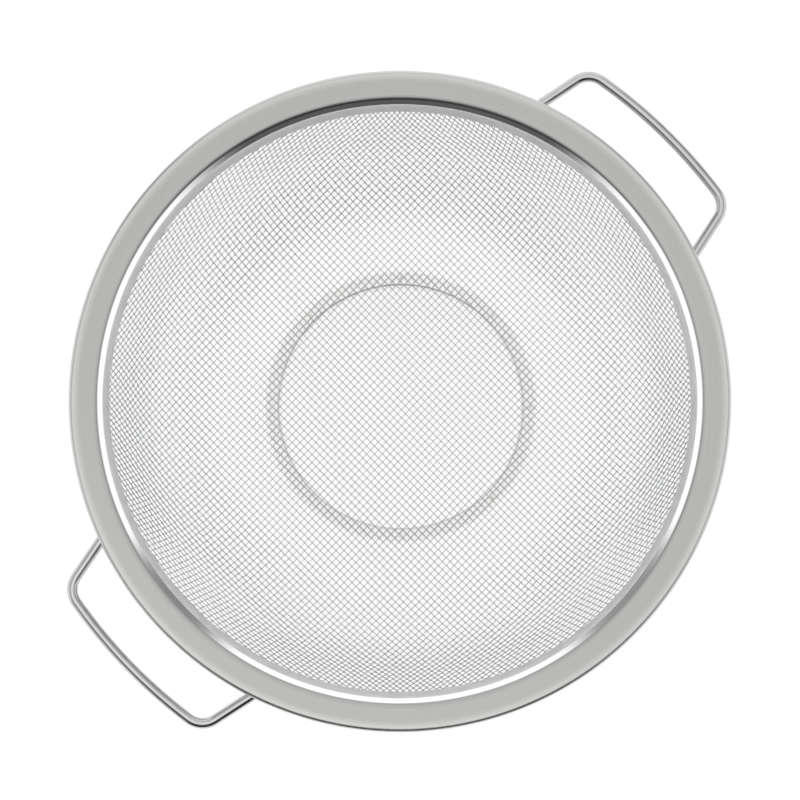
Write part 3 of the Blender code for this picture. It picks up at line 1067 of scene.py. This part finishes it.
@dataclass
class FootRing:
    """The ring that the bowl stands on, turned outwards under the mesh and at the ground."""

    section: Section
    sheet: float = 0.0008
    wall_radius: float = 0.0486
    lip_width: float = 0.0052
    base_width: float = 0.0026
    bend_radius: float = 0.0007
    bend_steps: int = 6
    segments: int = 192

    def build(self) -> list[bpy.types.Object]:
        """Build and dress the ring.

        Returns:
            Its one piece.
        """
        surface = BowlSurface(self.section)
        radius = self.wall_radius + self.lip_width / 2
        slope = math.asin(radius / self.section.floor_radius)
        under = self.section.mesh_wire + self.section.fit_gap + self.sheet / 2
        middle = np.array([radius, float(surface.height(np.array(radius)))])
        middle = middle + under * np.array([math.sin(slope), -math.cos(slope)])
        along = direction(slope)
        wall_top = middle + along * (self.wall_radius - middle[0]) / along[0]
        lip_edge = wall_top + along * self.lip_width
        wall_foot = np.array([self.wall_radius, self.sheet / 2])
        base_edge = wall_foot + np.array([self.base_width, 0.0])
        ring = TurnedSheet("foot_band", self.sheet, segments=self.segments)
        ring.run(lip_edge[None])
        ring.run(rounded(lip_edge, wall_top, wall_foot, self.bend_radius, self.bend_steps))
        ring.run(rounded(wall_top, wall_foot, base_edge, self.bend_radius, self.bend_steps))
        ring.run(base_edge[None])
        piece = ring.make([SATIN_FOOT.material()])
        settle(piece, ("foot_ring",))
        return [piece]


@dataclass
class Handle:
    """One bent wire loop: a bowed grip, two corners, two legs and the ends that are welded under the rim.

    The leg shares say where on a leg its line has points of its own.
    """

    section: Section
    name: str
    node: str
    turn: float
    wire: float = 0.0040
    standoff: float = 0.0182
    bow_radius: float = 0.198
    half_width: float = 0.0364
    corner_radius: float = 0.0085
    leg_spread: float = math.radians(11.6)
    root_radius: float = 0.0060
    weld_run: float = 0.0140
    steps: int = 14
    sides: int = 24
    end_round: float = 0.0006
    leg_shares: tuple[float, ...] = (0.02, 0.5, 0.98)

    def half_line(self, root_reach: float) -> np.ndarray:
        """Draw half of the middle line, with X out of the rim.

        Args:
            root_reach: The welded end's distance from the Z axis.

        Returns:
            Its points, from the middle of the grip to the welded end.
        """
        bow_center = np.array([self.section.rim_diameter / 2 + self.standoff - self.bow_radius, 0.0])
        corner_reach = bow_center[0] + math.sqrt(self.bow_radius**2 - self.half_width**2)
        corner = np.array([corner_reach, self.half_width])
        inward = np.array([-math.cos(self.leg_spread), math.sin(self.leg_spread)])
        outer = np.array([math.sin(self.leg_spread), math.cos(self.leg_spread)])
        bend_center = along_line_at_distance(
            corner - outer * self.corner_radius, inward, bow_center, self.bow_radius - self.corner_radius
        )
        root_center = along_line_at_distance(
            corner + outer * self.root_radius, inward, np.zeros(2), root_reach + self.root_radius
        )
        run_start = math.atan2(root_center[1], root_center[0])
        bow_end = math.atan2(bend_center[1] - bow_center[1], bend_center[0] - bow_center[0])
        leg_angle = math.pi / 2 - self.leg_spread
        bow = arc(bow_center, self.bow_radius, 0.0, bow_end, self.steps)
        bend = arc(bend_center, self.corner_radius, bow_end, leg_angle, self.steps)
        root = arc(root_center, self.root_radius, leg_angle - math.pi, run_start - math.pi, self.steps)
        run = arc(np.zeros(2), root_reach, run_start, run_start + self.weld_run / root_reach, self.steps)
        leg = [bend[-1] + (root[0] - bend[-1]) * share for share in self.leg_shares]
        return np.vstack([bow, bend[1:], leg, root, run[1:]])

    def build(self) -> list[bpy.types.Object]:
        """Build and dress the handle.

        Returns:
            Its one piece.
        """
        level = self.section.rim_top - self.section.curl_height - self.section.fit_gap - self.wire / 2
        root = self.section.beside_clamp(level, self.section.fit_gap + self.wire / 2)
        half = self.half_line(root[0])
        line = np.vstack([(half * [1.0, -1.0])[:0:-1], half])
        cosine, sine = direction(self.turn)
        spin = np.array([[cosine, -sine], [sine, cosine]])
        path = np.column_stack([line @ spin.T, np.full(len(line), level)])
        radii = np.full(len(path), self.wire / 2)
        near_start = path[0] + unit(path[1] - path[0]) * self.end_round
        near_end = path[-1] + unit(path[-2] - path[-1]) * self.end_round
        path = np.vstack([path[0], near_start, path[1:-1], near_end, path[-1]])
        radii = np.pad(radii, 1, constant_values=self.wire / 2 - self.end_round)
        form = QuadMesh()
        tube(form, path, np.tile([0.0, 0.0, 1.0], (len(path), 1)), radii, self.sides)
        piece = form.make(self.name, [POLISHED_WIRE.material()])
        settle(piece, (self.node,))
        return [piece]


@dataclass
class Welds:
    """The weld beads and the spot welds, which keep their CAD solids and get the look of fused metal."""

    word: str = "weld"

    def build(self) -> list[bpy.types.Object]:
        """Dress every weld.

        Returns:
            The welds.
        """
        look = WELD_METAL.material()
        welds = [node for name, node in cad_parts.items() if self.word in name]
        for weld in welds:
            weld.data.materials.clear()
            weld.data.materials.append(look)
        return welds


@dataclass(frozen=True)
class Patch:
    """A stretch of the surroundings that is darker or lighter than the rest, with soft edges.

    The gain is what the light is multiplied by. All the others are angles in degrees.
    """

    image_angle: float
    half_width: float
    top: float
    gain: float
    bottom: float = -30.0
    side_blur: float = 7.0
    rise_blur: float = 6.0


@dataclass
class Studio:
    """A white floor, surroundings with the patches that let steel show its form, and a soft lamp.

    Angles are in degrees, and the lamp's power is in watts.
    """

    image_up: float
    floor_reach: float = 6.0
    floor_drop: float = 0.0001
    floor_grey: float = 0.30
    floor_roughness: float = 0.9
    floor_glow: float = 0.84
    world_light: float = 1.15
    white_to: float = 12.0
    grey_from: float = 36.0
    grey_to: float = 50.0
    pale_from: float = 80.0
    grey: float = 0.50
    pale: float = 0.90
    least_level: float = 0.001
    patches: tuple[Patch, ...] = (
        Patch(270.0, 42.0, 70.0, 0.09, side_blur=11.0, rise_blur=12.0),
        Patch(270.0, 62.0, 64.0, 0.36, bottom=16.0, side_blur=12.0),
        Patch(270.0, 68.0, 3.0, 0.10, rise_blur=3.0),
        Patch(44.5, 8.0, 30.0, 0.22, side_blur=8.0, rise_blur=12.0),
        Patch(137.0, 8.5, 30.0, 0.26, side_blur=8.5, rise_blur=12.0),
        Patch(90.0, 30.0, 62.0, 1.35, bottom=20.0, side_blur=12.0),
    )
    lamp_size: float = 1.2
    lamp_distance: float = 1.5
    lamp_angle: float = 250.0
    lamp_lean: float = 22.0
    lamp_power: float = 0.8

    def toward(self, image_angle: float) -> np.ndarray:
        """Return the level direction that shows at this angle in the picture, from its right side."""
        return direction(self.image_up - math.pi / 2 + math.radians(image_angle))

    def floor(self) -> bpy.types.Object:
        """Lay the floor, which shows white and keeps a soft shadow.

        Returns:
            The floor.
        """
        mesh = bpy.data.meshes.new("studio_floor")
        reach = self.floor_reach
        corners = [(-reach, -reach, 0), (reach, -reach, 0), (reach, reach, 0), (-reach, reach, 0)]
        mesh.from_pydata(corners, [], [(0, 1, 2, 3)])
        plane = bpy.data.objects.new("studio_floor", mesh)
        plane.location.z = -self.floor_drop
        bpy.context.scene.collection.objects.link(plane)
        paper, board = new_material("floor_paper")
        shader = board.shader
        shader.inputs["Base Color"].default_value = (self.floor_grey, self.floor_grey, self.floor_grey, 1.0)
        shader.inputs["Roughness"].default_value = self.floor_roughness
        shader.inputs["Specular IOR Level"].default_value = 0.0
        shader.inputs["Emission Color"].default_value = (1.0, 1.0, 1.0, 1.0)
        path = board.add("ShaderNodeLightPath")
        seen = board.math("MAXIMUM", path.outputs["Is Camera Ray"], path.outputs["Is Glossy Ray"])
        seen = board.math("MAXIMUM", seen, path.outputs["Is Transmission Ray"])
        board.join(board.math("MULTIPLY", seen, self.floor_glow), shader.inputs["Emission Strength"])
        mesh.materials.append(paper)
        return plane

    def world(self) -> None:
        """Surround the strainer with white, a grey band above it, a pale top and the patches."""
        world = bpy.data.worlds.new("studio_world")
        board = NodeBoard(world, "Background")
        parts = board.add("ShaderNodeSeparateXYZ")
        board.join(board.add("ShaderNodeTexCoord").outputs["Generated"], parts.inputs[0])
        rise = parts.outputs[2]
        level = board.math("MAXIMUM", board.radius(parts), self.least_level)
        white_to, grey_from, grey_to, pale_from = (
            math.sin(math.radians(angle))
            for angle in (self.white_to, self.grey_from, self.grey_to, self.pale_from)
        )
        darkening = board.ramp(rise, white_to, grey_from, 1.0, self.grey)
        brightening = board.ramp(rise, grey_to, pale_from, 0.0, self.pale - self.grey)
        light = board.math("ADD", darkening, brightening)
        for patch in self.patches:
            middle = self.toward(patch.image_angle)
            along = [board.math("MULTIPLY", parts.outputs[axis], float(middle[axis])) for axis in (0, 1)]
            turned = board.math("DIVIDE", board.math("ADD", *along), level)
            blurs = (patch.side_blur, -patch.side_blur)
            sides = [math.cos(math.radians(patch.half_width + blur)) for blur in blurs]
            bottoms, tops = (
                [math.sin(math.radians(edge + blur)) for blur in (-patch.rise_blur, patch.rise_blur)]
                for edge in (patch.bottom, patch.top)
            )
            inside = board.math("MULTIPLY", board.ramp(rise, *bottoms), board.ramp(rise, *tops, 1.0, 0.0))
            inside = board.math("MULTIPLY", inside, board.ramp(turned, *sides))
            change = board.math("ADD", 1.0, board.math("MULTIPLY", inside, patch.gain - 1.0))
            light = board.math("MULTIPLY", light, change)
        board.join(board.math("MULTIPLY", light, self.world_light), board.shader.inputs["Strength"])
        board.shader.inputs["Color"].default_value = (1.0, 1.0, 1.0, 1.0)
        bpy.context.scene.world = world

    def lamp(self) -> bpy.types.Object:
        """Hang the lamp, which leans off the vertical towards its angle in the picture.

        Returns:
            The lamp.
        """
        light = bpy.data.lights.new("main_lamp", "AREA")
        light.shape = "DISK"
        light.size = self.lamp_size
        light.energy = self.lamp_power
        lamp = bpy.data.objects.new("main_lamp", light)
        lean = math.radians(self.lamp_lean)
        level = self.toward(self.lamp_angle) * math.sin(lean) * self.lamp_distance
        lamp.location = (*level, math.cos(lean) * self.lamp_distance)
        lamp.rotation_euler = Vector(lamp.location).to_track_quat("Z", "Y").to_euler()
        bpy.context.scene.collection.objects.link(lamp)
        return lamp

    def build(self) -> list[bpy.types.Object]:
        """Set the studio up.

        Returns:
            The floor and the lamp.
        """
        floor = self.floor()
        self.world()
        return [floor, self.lamp()]


@dataclass
class OverheadCamera:
    """The camera over the strainer, a little towards the lower edge of the picture.

    Its foot is the place that it stands over and its aim the place that it looks at, both on the level of the
    rim's top and measured from its middle.
    """

    rim_top: float
    image_up: float
    distance: float = 0.920
    foot_right: float = 0.009
    foot_up: float = -0.055
    view_width: float = 0.3014
    aim_right: float = 0.0002
    aim_up: float = -0.0005
    sensor: float = 36.0

    def build(self) -> list[bpy.types.Object]:
        """Place the camera and make it the scene's.

        Returns:
            The camera.
        """
        up = Vector((*direction(self.image_up), 0.0))
        right = Vector((*direction(self.image_up - math.pi / 2), 0.0))
        middle = Vector((0.0, 0.0, self.rim_top))
        place = middle + right * self.foot_right + up * self.foot_up + Vector((0.0, 0.0, self.distance))
        target = middle + right * self.aim_right + up * self.aim_up
        back = (place - target).normalized()
        across = up.cross(back).normalized()
        upright = back.cross(across)
        data = bpy.data.cameras.new("overhead_camera")
        data.sensor_width = self.sensor
        data.lens = self.sensor * (place - target).length / self.view_width
        camera = bpy.data.objects.new("overhead_camera", data)
        turn = Matrix((across, upright, back)).transposed().to_4x4()
        camera.matrix_world = Matrix.Translation(place) @ turn
        bpy.context.scene.collection.objects.link(camera)
        bpy.context.scene.camera = camera
        return [camera]


def main() -> None:
    """Build the strainer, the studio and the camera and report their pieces."""
    logging.basicConfig(level=logging.INFO, format="%(name)s: %(message)s")
    section = Section(rim_top=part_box("rim")[1][2])
    assemblies = (
        Rim(section),
        ClampRing(section),
        WovenBowl(section),
        FootRing(section),
        Handle(section, "right_loop", "handle_right", HANDLE_SKEW),
        Handle(section, "left_loop", "handle_left", math.pi - HANDLE_SKEW),
        Welds(),
        Studio(IMAGE_UP),
        OverheadCamera(section.rim_top, IMAGE_UP),
    )
    for assembly in assemblies:
        for piece in assembly.build():
            log.info("%s: %s", type(assembly).__name__, piece.name)
    bpy.context.scene.view_settings.view_transform = "Standard"


if __name__ == "__main__":
    main()
